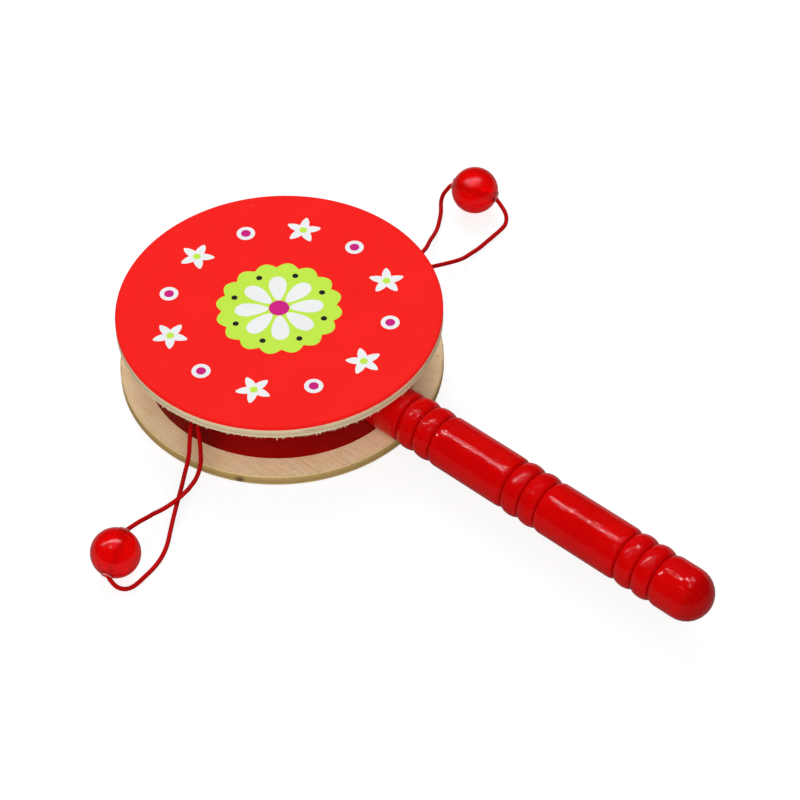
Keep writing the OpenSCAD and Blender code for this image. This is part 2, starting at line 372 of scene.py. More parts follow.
@dataclass(frozen=True)
class PlywoodFinish:
    """Raw plywood: a pale fleecy face, an edge of three plies, and print on one bevel."""

    name: str
    bottom: float
    thickness: float
    printed_top: bool
    face: Colour = (1.0, 0.77, 0.48)
    face_deep: Colour = (0.90, 0.61, 0.32)
    fleck: Colour = (0.42, 0.25, 0.12)
    ply: Colour = (0.92, 0.74, 0.48)
    core: Colour = (0.74, 0.60, 0.37)
    glue: Colour = (0.42, 0.28, 0.13)
    knot: Colour = (0.10, 0.06, 0.03)
    knot_at: Point | None = None
    knot_ragged: float = 2.0 * MM
    knot_band: Band = Band(2.6 * MM, 1.4 * MM, to_high=0.85)
    bevel: float = 0.29 * MM
    print_edge: float = 0.02 * MM
    print_wobble_share: float = 0.2
    print_gloss: float = 0.45
    wobble: float = 0.3 * MM
    relief: float = 0.18 * MM
    gloss: float = 0.1
    roughness: Band = Band(0.3, 0.7, 0.72, 0.9)
    edge_tilt: Band = Band(0.9, 0.5)
    grain: Noise = Noise((60.0, 900.0, 500.0), 6.0, 0.6, GRAIN_TURN)
    grain_band: Band = Band(0.35, 0.75, to_high=0.4)
    clouds: Noise = Noise((150.0, 260.0, 90.0), 5.0, 0.6, GRAIN_TURN)
    cloud_band: Band = Band(0.48, 0.72, to_high=0.8)
    flecks: Noise = Noise((500.0, 1900.0, 900.0), 2.0, turn=GRAIN_TURN)
    fleck_band: Band = Band(0.66, 0.74, to_high=0.55)
    waves: Noise = Noise((130.0, 130.0, 10.0))
    streaks: Noise = Noise((700.0, 700.0, 2600.0), 5.0, 0.7)
    streak_band: Band = Band(0.4, 0.75, to_high=0.55)
    blots: Noise = Noise((110.0, 110.0, 300.0), 2.0)
    blot_band: Band = Band(0.66, 0.76, to_high=0.7)

    def layers(self) -> list[tuple[float, Colour]]:
        """Return the edge's colours from the bottom up, each at its share of the thickness."""
        return [(0.0, self.glue), (0.05, self.core), (0.09, self.ply), (0.34, self.ply),
                (0.37, self.glue), (0.41, self.core), (0.64, self.core), (0.68, self.ply),
                (1.0, self.ply)]

    def face_colour(self, b: NodeBench, grain: bpy.types.NodeSocket) -> bpy.types.NodeSocket:
        """Return the colour of the flat faces.

        Args:
            b: Bench of the material.
            grain: Value of the grain.

        Returns:
            The colour.
        """
        colour = b.mix(b.span(grain, self.grain_band), self.face, self.face_deep)
        colour = b.mix(b.span(b.noise(self.clouds), self.cloud_band), colour, self.face_deep)
        return b.mix(b.span(b.noise(self.flecks), self.fleck_band), colour, self.fleck)

    def edge_colour(self, b: NodeBench, level: bpy.types.NodeSocket,
                    streaks: bpy.types.NodeSocket) -> bpy.types.NodeSocket:
        """Return the colour of the sawn edge, with a dark knot in it if it has one.

        Args:
            b: Bench of the material.
            level: Height above the bottom, as a share of the thickness.
            streaks: Value of the streaks.

        Returns:
            The colour.
        """
        plies = b.add("ValToRGB", {0: level})
        ramp, layers = plies.color_ramp, self.layers()
        while len(ramp.elements) < len(layers):
            ramp.elements.new(1.0)
        for element, (at, colour) in zip(ramp.elements, layers):
            element.position, element.color = at, (*colour, 1.0)
        edge = b.mix(b.span(streaks, self.streak_band), plies.outputs[0], self.core)
        edge = b.mix(b.span(b.noise(self.blots), self.blot_band), edge, self.fleck)
        if self.knot_at is None:
            return edge
        away = b.add("VectorMath", {0: b.here(), 1: self.knot_at}, operation="DISTANCE")
        ragged = b.math("ADD", away.outputs["Value"], b.math("MULTIPLY", streaks, self.knot_ragged))
        return b.mix(b.span(ragged, self.knot_band), edge, self.knot)

    def print_band(self) -> Band:
        """Return the heights between which the wood gives way to the print.

        Returns:
            The band of heights.
        """
        if self.printed_top:
            rim = self.bottom + self.thickness - self.bevel
            return Band(rim, rim + self.print_edge)
        rim = self.bottom + self.bevel
        return Band(rim, rim - self.print_edge)

    def material(self) -> bpy.types.Material:
        """Build the material.

        Returns:
            The material.
        """
        b = NodeBench(self.name)
        grain, streaks = b.noise(self.grain), b.noise(self.streaks)
        height = b.add("SeparateXYZ", {0: b.here()}).outputs["Z"]
        wobble = b.math("MULTIPLY", b.noise(self.waves), self.wobble)
        level = b.span(b.math("ADD", height, wobble),
                       Band(self.bottom, self.bottom + self.thickness))
        print_height = b.math("ADD", height, b.math("MULTIPLY", wobble, self.print_wobble_share))
        printed = b.span(print_height, self.print_band())
        tilt = b.add("SeparateXYZ", {0: b.add("NewGeometry").outputs["Normal"]}).outputs["Z"]
        on_edge = b.span(b.math("ABSOLUTE", tilt), self.edge_tilt)
        wood = b.mix(on_edge, self.face_colour(b, grain), self.edge_colour(b, level, streaks))
        b.surface("Base Color", b.mix(printed, wood, PRINT_RED))
        smoother = b.math("MULTIPLY", printed, self.print_gloss)
        b.surface("Roughness", b.math("SUBTRACT", b.span(grain, self.roughness), smoother))
        b.surface("Specular IOR Level", self.gloss)
        b.bump(b.math("ADD", grain, streaks), self.relief)
        return b.material


@dataclass(frozen=True)
class PaintFinish:
    """Paint over turned wood, whose grain shows a little through it.

    It turns to its deep colour where the distance from the turning axis passes through
    deep_band, which on the ring is painted shade at its sides, and it may be chipped down to
    the wood there. The waves of its lumps and pits are counted over the size of a lump, and
    not over a metre.
    """

    name: str
    colour: Colour
    deep: Colour
    wood: Colour
    axis_z: float
    deep_band: Band
    roughness: Band
    gloss: float
    lump_size: float
    lump_depth: float
    grain_share: float
    chip_share: float
    deep_share: float = 0.8
    lumps: Noise = Noise((0.8, 1.0, 1.0), 1.0, 0.5)
    pits: Noise = Noise((3.2, 3.2, 3.2), 1.0)
    pit_share: float = 0.10
    grain_relief: float = 0.5
    grain: Noise = Noise((45.0, 520.0, 520.0), 6.0, 0.62)
    grain_band: Band = Band(0.4, 0.8)
    tone: Noise = Noise((60.0, 110.0, 110.0), 2.0)
    tone_band: Band = Band(0.35, 0.7, to_high=0.4)
    chips: Noise = Noise((420.0, 520.0, 520.0), 4.0, 0.7)
    chip_band: Band = Band(0.68, 0.72)
    chip_deep_band: Band = Band(0.4, 0.9)

    def brushed(self, b: NodeBench, grain: bpy.types.NodeSocket) -> bpy.types.NodeSocket:
        """Return the height of the brushed coat: lumps, fine pits and a trace of the grain.

        Args:
            b: Bench of the material.
            grain: Value of the grain.

        Returns:
            The height, as a share of the lumps' depth.
        """
        lumps = b.noise(self.lumps.finer(1.0 / self.lump_size))
        pits = b.noise(self.pits.finer(1.0 / self.lump_size))
        coat = b.math("ADD", lumps, b.math("MULTIPLY", pits, self.pit_share))
        trace = b.math("MULTIPLY", grain, self.grain_share * self.grain_relief)
        return b.math("ADD", coat, trace)

    def material(self) -> bpy.types.Material:
        """Build the material.

        Returns:
            The material.
        """
        b = NodeBench(self.name)
        grain = b.noise(self.grain)
        xyz = b.add("SeparateXYZ", {0: b.here()})
        above = b.math("SUBTRACT", xyz.outputs["Z"], self.axis_z)
        across = b.add("CombineXYZ", {0: 0.0, 1: xyz.outputs["Y"], 2: above}).outputs[0]
        reach = b.add("VectorMath", {0: across}, operation="LENGTH").outputs["Value"]
        # Share of the deep colour by distance from the axis: painted shade on the ring's sides,
        # darker grooves on the handle
        deep = b.span(reach, self.deep_band)
        colour = b.mix(b.span(b.noise(self.tone), self.tone_band), self.colour, self.deep)
        shows = b.math("MULTIPLY", b.span(grain, self.grain_band), self.grain_share)
        colour = b.mix(shows, colour, self.deep)
        colour = b.mix(b.math("MULTIPLY", deep, self.deep_share), colour, self.deep)
        chips = b.math("MULTIPLY", b.span(b.noise(self.chips), self.chip_band),
                       b.span(deep, self.chip_deep_band))
        colour = b.mix(b.math("MULTIPLY", chips, self.chip_share), colour, self.wood)
        b.surface("Base Color", colour)
        b.surface("Roughness", b.span(grain, self.roughness))
        b.surface("Specular IOR Level", self.gloss)
        b.bump(self.brushed(b, grain), self.lump_depth)
        return b.material


@dataclass(frozen=True)
class InkFinish:
    """Printed film or ink on it: an even colour with a faint mottle and a soft gloss."""

    name: str
    colour: Colour
    mottle: Colour
    roughness: Band = Band(0.3, 0.7, 0.36, 0.46)
    gloss: float = 0.12
    worn: float = 0.0
    speck: Colour = (0.9, 0.45, 0.35)
    relief: float = 0.02 * MM
    clouds: Noise = Noise((70.0, 70.0, 70.0))
    cloud_band: Band = Band(0.35, 0.7, to_high=0.8)
    grain: Noise = Noise((150.0, 1400.0, 400.0), turn=GRAIN_TURN)
    grain_band: Band = Band(0.45, 0.8, to_high=0.35)
    specks: Noise = Noise((420.0, 420.0, 420.0), 1.0)
    speck_band: Band = Band(0.81, 0.82)

    def material(self) -> bpy.types.Material:
        """Build the material.

        Returns:
            The material.
        """
        b = NodeBench(self.name)
        grain = b.noise(self.grain)
        colour = b.mix(b.span(b.noise(self.clouds), self.cloud_band), self.colour, self.mottle)
        colour = b.mix(b.span(grain, self.grain_band), colour, self.mottle)
        if self.worn:
            worn_band = replace(self.speck_band, to_high=self.worn)
            colour = b.mix(b.span(b.noise(self.specks), worn_band), colour, self.speck)
        b.surface("Base Color", colour)
        b.surface("Roughness", b.span(grain, self.roughness))
        b.surface("Specular IOR Level", self.gloss)
        b.bump(grain, self.relief)
        return b.material


@dataclass(frozen=True)
class CordFinish:
    """Dark red elastic cord, braided in two crossing waves, with painted shade in the hollows."""

    name: str = "cord_braid"
    colour: Colour = (0.62, 0.002, 0.003)
    deep: Colour = (0.32, 0.001, 0.001)
    radians_a_cm: float = 110.0
    waves_round: int = 2
    braid_band: Band = Band(-0.6, 1.0)
    hollow_shade_share: float = 0.7
    fuzz: Noise = Noise((2600.0, 2600.0, 2600.0), 3.0)
    fuzz_band: Band = Band(0.4, 0.8, to_high=0.35)
    fuzz_relief: float = 0.5
    relief: float = 0.06 * MM
    roughness: float = 0.62
    gloss: float = 0.06

    def wave(self, b: NodeBench, lean: float) -> bpy.types.NodeSocket:
        """Return one of the waves that wind round the cord.

        Args:
            b: Bench of the material.
            lean: 1 for a wave that winds one way, and -1 for the other.

        Returns:
            The wave, between -1 and 1.
        """
        uv = b.add("SeparateXYZ", {0: b.add("UVMap", uv_map="along").outputs[0]})
        along = b.math("MULTIPLY", uv.outputs[0], self.radians_a_cm)
        around = b.math("MULTIPLY", uv.outputs[1], lean * self.waves_round * 2 * math.pi)
        return b.math("SINE", b.math("ADD", along, around))

    def material(self) -> bpy.types.Material:
        """Build the material.

        Returns:
            The material.
        """
        b = NodeBench(self.name)
        braid = b.span(b.math("MAXIMUM", self.wave(b, 1.0), self.wave(b, -1.0)), self.braid_band)
        fuzz = b.noise(self.fuzz)
        # Painted shade: the braid's hollows turn to the deep colour
        hollow_shade = b.math("MULTIPLY", b.math("SUBTRACT", 1.0, braid), self.hollow_shade_share)
        colour = b.mix(hollow_shade, self.colour, self.deep)
        b.surface("Base Color", b.mix(b.span(fuzz, self.fuzz_band), colour, self.deep))
        b.surface("Roughness", self.roughness)
        b.surface("Specular IOR Level", self.gloss)
        b.bump(b.math("ADD", braid, b.math("MULTIPLY", fuzz, self.fuzz_relief)), self.relief)
        return b.material


@dataclass(frozen=True)
class AcrylicFinish:
    """Clear red acrylic with the faintest moulding haze, and painted shade where seen aslant."""

    name: str = "bead_acrylic"
    colour: Colour = (0.90, 0.0006, 0.001)
    haze: Colour = (0.80, 0.0004, 0.0006)
    # Dark red of the painted shade where the bead is seen aslant
    rim: Colour = (0.22, 0.0, 0.0)
    roughness: Band = Band(0.3, 0.7, 0.004, 0.014)
    clear: float = 0.68
    bend: float = 1.44
    gloss: float = 0.1
    swirl: Noise = Noise((260.0, 260.0, 260.0), 2.0)
    swirl_band: Band = Band(0.4, 0.7)
    rim_shade: float = 0.5
    rim_shade_band: Band = Band(0.3, 0.9, to_high=0.9)

    def material(self) -> bpy.types.Material:
        """Build the material.

        Returns:
            The material.
        """
        b = NodeBench(self.name)
        swirl = b.noise(self.swirl)
        body = b.mix(b.span(swirl, self.swirl_band), self.colour, self.haze)
        # Painted shade: darker towards the rim, where the bead is seen aslant
        rim_shade = b.add("LayerWeight", {0: self.rim_shade}).outputs["Facing"]
        b.surface("Base Color", b.mix(b.span(rim_shade, self.rim_shade_band), body, self.rim))
        b.surface("Roughness", b.span(swirl, self.roughness))
        b.surface("IOR", self.bend)
        b.surface("Transmission Weight", self.clear)
        b.surface("Specular IOR Level", self.gloss)
        return b.material


INKS = {
    Ink.WHITE: InkFinish("ink_white", (0.84, 0.85, 0.85), (0.76, 0.78, 0.79)),
    Ink.LIME: InkFinish("ink_lime", (0.53, 0.80, 0.07), (0.50, 0.76, 0.05)),
    Ink.MAGENTA: InkFinish("ink_magenta", (0.60, 0.01, 0.22), (0.54, 0.008, 0.19)),
    Ink.BLACK: InkFinish("ink_black", (0.012, 0.013, 0.014), (0.02, 0.02, 0.022)),
}
FILM_RED = InkFinish("print_red", PRINT_RED, (0.86, 0.006, 0.004),
                     roughness=Band(0.3, 0.7, 0.34, 0.44), worn=0.2)
SPLINTER_WOOD = InkFinish("splinter_wood", (0.84, 0.72, 0.50), (0.56, 0.42, 0.25),
                          roughness=Band(0.3, 0.7, 0.8, 0.9))
# Frosted rims of the bead's bore, whose pale pink is also a painted highlight where the mouths
# catch light
GROUND_RIM_HIGHLIGHT = AcrylicFinish("bead_ground_highlight", (1.0, 0.30, 0.30), (0.9, 0.16, 0.16),
                               roughness=Band(0.3, 0.7, 0.2, 0.21), clear=0.5)


def wear(piece: bpy.types.Object, finish: bpy.types.Material) -> None:
    """Put a finish on a solid of the frame.

    Args:
        piece: The solid.
        finish: Material of the whole solid.
    """
    if not piece.data.materials:
        piece.data.materials.append(finish)
    for k in range(len(piece.material_slots)):
        piece.material_slots[k].material = finish


def around(count: int) -> list[float]:
    """Return the angles of places spread evenly round a circle."""
    return [2 * math.pi * k / count for k in range(count)]


def polar(radius: float, angle: float) -> Spot:
    """Return the spot at a distance and an angle from the middle."""
    return radius * math.cos(angle), radius * math.sin(angle)


def petal(length: float, width: float, turn: float, out: float) -> np.ndarray:
    """Return the outline of a petal, fuller at its outer end.

    Args:
        length: Length of the petal.
        width: Rough width where it is widest.
        turn: Direction of the petal, in radians.
        out: Distance of its inner end from the middle.

    Returns:
        Points of the outline.
    """
    points, fullness, widest = 40, 0.35, 1.06
    t = np.linspace(0, 2 * math.pi, points, endpoint=False)
    x = out + length * (1 - np.cos(t)) / 2
    y = width / 2 * np.sin(t) * (1 + fullness * -np.cos(t)) / widest
    cos, sin = math.cos(turn), math.sin(turn)
    return np.stack([x * cos - y * sin, x * sin + y * cos], 1)


def disc(radius: float, at: Spot = (0.0, 0.0), scallops: int = 0,
         swell: float = 0.0) -> np.ndarray:
    """Return the outline of a disc, plain or scalloped.

    Args:
        radius: Radius of the plain disc.
        at: Middle of the disc.
        scallops: Number of scallops, or 0 for a plain disc.
        swell: How far a scallop stands out.

    Returns:
        Points of the outline.
    """
    fewest, points_a_scallop = 48, 16
    points = max(fewest, points_a_scallop * scallops)
    t = np.linspace(0, 2 * math.pi, points, endpoint=False)
    r = radius + (swell * np.abs(np.sin(t * scallops / 2)) if scallops else 0.0)
    return np.stack([at[0] + r * np.cos(t), at[1] + r * np.sin(t)], 1)


def star(radius: float, inner: float, turn: float, at: Spot) -> np.ndarray:
    """Return the outline of a star with its points a little blunted.

    Args:
        radius: Radius at the points, before they are blunted.
        inner: Radius between the points.
        turn: Turn of the star, in radians.
        at: Middle of the star.

    Returns:
        Points of the outline.
    """
    points, tips, pinch, blunt = 120, 5, 1.25, 0.95
    t = np.linspace(0, 2 * math.pi, points, endpoint=False)
    wave = np.abs(((t * tips / (2 * math.pi)) % 1.0) - 0.5) * 2
    r = inner + (radius - inner) * wave ** pinch
    r = np.minimum(r, radius * blunt)
    return np.stack([at[0] + r * np.cos(t + turn), at[1] + r * np.sin(t + turn)], 1)


@dataclass(frozen=True)
class InkLayer:
    """One layer of a print: its name, ink, height in coats, and the outlines it fills."""

    name: str
    ink: Ink
    coats: int
    outlines: list[np.ndarray]


@dataclass
class FacePrint:
    """Inks on one printed face: a rosette, with stars and buttons round it."""

    film: str
    name: str
    facing: float
    rosette_r: float = 14.0 * MM
    rosette_swell: float = 1.5 * MM
    petals: int = 8
    petal_l: float = 8.2 * MM
    petal_w: float = 4.4 * MM
    petal_out: float = 2.6 * MM
    heart_r: float = 2.5 * MM
    seed_r: float = 0.75 * MM
    seed_out: float = 11.6 * MM
    motifs: int = 6
    motif_r: float = 27.6 * MM
    star_r: float = 4.6 * MM
    star_inner_share: float = 0.42
    star_dot_r: float = 0.95 * MM
    button_r: float = 2.3 * MM
    button_dot_r: float = 1.2 * MM
    ink_t: float = 0.03 * MM

    def layers(self) -> list[InkLayer]:
        """Return the layers of the print.

        Returns:
            The layers, whose outlines are in metres.
        """
        rosette = disc(self.rosette_r, scallops=self.petals * 2, swell=self.rosette_swell)
        leaves = [petal(self.petal_l, self.petal_w, a, self.petal_out)
                  for a in around(self.petals)]
        seeds = [polar(self.seed_out, a + math.pi / self.petals) for a in around(self.petals)]
        on = [(polar(self.motif_r, a), a) for a in around(self.motifs)]
        between = [polar(self.motif_r, a + math.pi / self.motifs) for a in around(self.motifs)]
        stars = [star(self.star_r, self.star_r * self.star_inner_share, a, at) for at, a in on]
        return [
            InkLayer("rosette", Ink.LIME, 1, [rosette]),
            InkLayer("petals", Ink.WHITE, 2, leaves),
            InkLayer("heart", Ink.MAGENTA, 2, [disc(self.heart_r)]),
            InkLayer("seeds", Ink.BLACK, 2, [disc(self.seed_r, at) for at in seeds]),
            InkLayer("stars", Ink.WHITE, 1, stars),
            InkLayer("star_dots", Ink.LIME, 2, [disc(self.star_dot_r, at) for at, _ in on]),
            InkLayer("buttons", Ink.WHITE, 1, [disc(self.button_r, at) for at in between]),
            InkLayer("button_dots", Ink.MAGENTA, 2,
                     [disc(self.button_dot_r, at) for at in between]),
        ]

    def slabs(self, outlines: Sequence[np.ndarray],
              heights: Sequence[float]) -> tuple[np.ndarray, list[Face]]:
        """Raise each outline to a closed slab, mirrored where the face looks down.

        Args:
            outlines: Outlines of the slabs, in metres.
            heights: Height of their bottoms, and of their tops.

        Returns:
            Vertices and faces of all the slabs.
        """
        points: list[Point] = []
        faces: list[Face] = []
        for outline in outlines:
            n, start = len(outline), len(points)
            for z in heights:
                points += [(x, y * self.facing, z) for x, y in outline]
            ring = list(range(n)) if self.facing > 0 else list(range(n))[::-1]
            faces.append(tuple(start + k for k in ring[::-1]))
            faces.append(tuple(start + n + k for k in ring))
            for i in range(n):
                a, c = ring[i], ring[(i + 1) % n]
                faces.append((start + a, start + c, start + n + c, start + n + a))
        return np.array(points), faces

    def print_on(self, body: str, slot: str,
                 inks: dict[Ink, bpy.types.Material]) -> list[bpy.types.Object]:
        """Lay the inks on the film.

        Args:
            body: Body that the film belongs to.
            slot: Material slot of the film. Not used.
            inks: Material of each ink.

        Returns:
            The ink pieces.
        """
        low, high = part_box(self.film)
        face = high.z if self.facing > 0 else low.z
        pieces = []
        for layer in self.layers():
            heights = sorted((face, face + self.facing * self.ink_t * layer.coats))
            points, faces = self.slabs(layer.outlines, heights)
            piece = add_mesh(f"{self.name}_{layer.name}", points, faces, inks[layer.ink],
                             smooth=False)
            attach(piece, body)
            pieces.append(piece)
        return pieces


@dataclass
class Fray:
    """Splinters that the saw left along one edge of a head.

    Lengths are in millimetres. A random measure is its least, and a share of its more. Each
    stretch of the edge is frayed to its own degree.
    """

    head: str
    at_bottom: bool
    splinters: int
    body: str = "drum"
    seed: int = 7
    stretches: int = 64
    density_least: float = 0.35
    density_rarity: float = 2.0
    bevel: float = 0.3
    inset_least: float = 0.35
    inset_more: float = 0.65
    sunk: float = 0.12
    length_least: float = 0.16
    length_more: float = 0.5
    length_rarity: float = 2.5
    length_sunk: float = 0.1
    inward: float = 0.35
    drift: float = 1.6
    half_least: float = 0.06
    half_more: float = 0.12
    depth: float = 1.2

    def splinter(self, rng: np.random.Generator, angle: float, radius: float, z: float,
                 way: float) -> list[np.ndarray]:
        """Make one splinter, as three points of its root and its tip.

        Args:
            rng: Source of the random draws.
            angle: Angle of its root round the head.
            radius: Radius of the head, in metres.
            z: Height of the frayed edge, in metres.
            way: -1 where the splinters point down, and 1 where they point up.

        Returns:
            The four points, in metres.
        """
        out = np.array([math.cos(angle), math.sin(angle), 0.0])
        side = np.array([-math.sin(angle), math.cos(angle), 0.0])
        along = np.array([0.0, 0.0, way])
        inset = self.bevel * MM * (self.inset_least + self.inset_more * rng.random())
        root = out * (radius - inset) + np.array([0.0, 0.0, z - way * self.sunk * MM])
        size = (self.length_least + self.length_more * rng.random() ** self.length_rarity) * MM
        tip = root + along * (size + self.length_sunk * MM)
        tip = tip + out * size * (rng.random() - self.inward)
        tip = tip + side * size * self.drift * (rng.random() - 0.5)
        half = (self.half_least + self.half_more * rng.random()) * MM
        return [root - side * half, root + side * half, root - out * half * self.depth, tip]

    def build(self) -> bpy.types.Object:
        """Make all the splinters.

        Returns:
            The splinters, as one piece.
        """
        low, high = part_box(self.head)
        radius = (high.x - low.x) / 2
        z, way = (low.z, -1.0) if self.at_bottom else (high.z, 1.0)
        rng = np.random.default_rng(self.seed)
        points: list[np.ndarray] = []
        faces: list[Face] = []
        shares = rng.random(self.stretches) ** self.density_rarity
        density = np.cumsum(self.density_least + shares)
        for u in rng.random(self.splinters):
            place = np.interp(u * density[-1], density, np.arange(self.stretches))
            start = len(points)
            points += self.splinter(rng, 2 * math.pi * place / self.stretches, radius, z, way)
            faces += [(start, start + 1, start + 3), (start + 1, start + 2, start + 3),
                      (start + 2, start, start + 3), (start, start + 2, start + 1)]
        piece = add_mesh(f"{self.head}_splinters", np.array(points), faces,
                         SPLINTER_WOOD.material(), smooth=False)
        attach(piece, self.body)
        return piece


@dataclass
class Drum:
    """Two plywood heads with printed faces, on the ring between them."""

    body: str = "drum"
    knot_at: Point = (18.6 * MM, -35.4 * MM, 1.2 * MM)
    # Distances from the middle over which the ring turns to painted shade at its sides
    ring_shade_from: float = 32.0 * MM
    ring_shade_at: float = 33.0 * MM
    prints: tuple[FacePrint, ...] = (
        FacePrint("front_film", "front_print", 1.0),
        FacePrint("back_film", "back_print", -1.0),
    )
    frays: tuple[Fray, ...] = (
        Fray("front_head", True, 900),
        Fray("back_head", False, 450),
    )

    def plywood(self, name: str) -> PlywoodFinish:
        """Return the finish of a head. The back head has browner plies, and a knot.

        Args:
            name: Node of the head.

        Returns:
            Its finish.
        """
        low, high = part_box(name)
        wood = PlywoodFinish(f"{name}_plywood", low.z, high.z - low.z,
                             printed_top=name == "front_head")
        if wood.printed_top:
            return wood
        return replace(wood, ply=(0.62, 0.42, 0.15), core=(0.50, 0.34, 0.13),
                       glue=(0.20, 0.12, 0.05), knot_at=self.knot_at)

    def ring_paint(self) -> PaintFinish:
        """Return the ring's dull paint, with painted shade darkest at the left and the right.

        Returns:
            The finish.
        """
        low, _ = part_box("drum_ring")
        return PaintFinish(
            "ring_paint", colour=(0.30, 0.001, 0.001), deep=(0.16, 0.0005, 0.0005),
            wood=(0.55, 0.40, 0.22), axis_z=low.z,
            deep_band=Band(self.ring_shade_from, self.ring_shade_at),
            roughness=Band(0.3, 0.75, 0.42, 0.45), gloss=0.03,
            lump_size=2.0 * MM, lump_depth=0.1 * MM, grain_share=0.5, chip_share=0.0)

    def dress(self, nodes: dict[str, bpy.types.Object]) -> None:
        """Give the heads, films and ring their finishes.

        Args:
            nodes: Solids of the frame, by name.
        """
        for name in ("back_head", "front_head"):
            wear(nodes[name], self.plywood(name).material())
        film = FILM_RED.material()
        for name in ("back_film", "front_film"):
            wear(nodes[name], film)
        wear(nodes["drum_ring"], self.ring_paint().material())

    def build(self, nodes: dict[str, bpy.types.Object]) -> None:
        """Dress the drum and add its print and its splinters.

        Args:
            nodes: Solids of the frame, by name.
        """
        self.dress(nodes)
        inks = {ink: finish.material() for ink, finish in INKS.items()}
        for face in self.prints:
            layers = face.print_on(self.body, "printed_film", inks)
            log.info("print on %s: %d layers", face.film, len(layers))
        for fray in self.frays:
            log.info("splinters: %s", fray.build().name)


@dataclass
class Handle:
    """The turned handle, under glossy paint."""

    node: str = "handle"
    groove_r: float = 5.6 * MM
    skin_r: float = 6.4 * MM

    def dress(self, nodes: dict[str, bpy.types.Object]) -> None:
        """Give the handle its paint, which is deep and chipped in the grooves.

        Args:
            nodes: Solids of the frame, by name.
        """
        low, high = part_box(self.node)
        paint = PaintFinish(
            "handle_paint", colour=(0.65, 0.0006, 0.0006), deep=(0.44, 0.0004, 0.0004),
            wood=(0.40, 0.26, 0.14), axis_z=(low.z + high.z) / 2,
            deep_band=Band(self.skin_r, self.groove_r),
            roughness=Band(0.3, 0.75, 0.06, 0.09), gloss=0.18,
            lump_size=0.9 * MM, lump_depth=0.1 * MM, grain_share=0.08, chip_share=0.8)
        wear(nodes[self.node], paint.material())
        log.info("handle painted")


@dataclass
class CordLoop:
    """One cord: two strands from the knot, joined in a loop through the bead.

    The strands bend at the distance bend from the middle line, between the distances and
    heights of bend_from and bend_to, and the loop again at the distance fold. Nothing in
    this script reads these fields, nor fold_reach.
    """

    side: Side
    knot_at: Point
    strands: tuple[Sequence[Point], Sequence[Point]]
    loop: Sequence[Point]
    bend: float
    fold: float
    bend_from: Spot = (4.0 * MM, 8.4 * MM)
    bend_to: Spot = (4.5 * MM, 4.6 * MM)
    fold_reach: float = 4.0 * MM
    radius: float = 0.55 * MM
    step: float = 0.45 * MM
    knot_points: int = 90
    knot_spread: float = 0.56 * MM
    knot_depth: float = 1.35 * MM

    def tied_knot(self, finish: bpy.types.Material) -> bpy.types.Object:
        """Make the tied knot behind the ring's wall.

        Args:
            finish: Material of the cord.

        Returns:
            The knot.
        """
        t = np.linspace(0, 2 * math.pi, self.knot_points, endpoint=False)
        x = (np.sin(t) + 2 * np.sin(2 * t)) * self.knot_spread
        z = (np.cos(t) - 2 * np.cos(2 * t)) * self.knot_spread
        y = -np.sin(3 * t) * self.knot_depth
        line = np.stack([x, y, z], 1) + np.array(self.knot_at)
        piece = add_tube(f"{self.side.value}_knot_tied", [line], self.radius, finish, closed=True)
        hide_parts(f"{self.side.value}_knot")
        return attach(piece, "drum")

    def build(self, finish: bpy.types.Material) -> None:
        """Args:
            finish: Material of the cord.
        """
        s = self.side.value
        lines = [smooth_route(strand, self.step) for strand in self.strands]
        strands = add_tube(f"{s}_cord_strands", lines, self.radius, finish)
        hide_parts(f"{s}_cord_root", f"{s}_cord_link")
        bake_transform(strands)
        knot = self.tied_knot(finish)
        line = smooth_route(self.loop, self.step)
        loop = add_tube(f"{s}_cord_loop_run", [line], self.radius, finish)
        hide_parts(f"{s}_cord_loop")
        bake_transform(loop)
        log.info("%s cord: loop of %.1f mm", s, line_length(line) / MM)


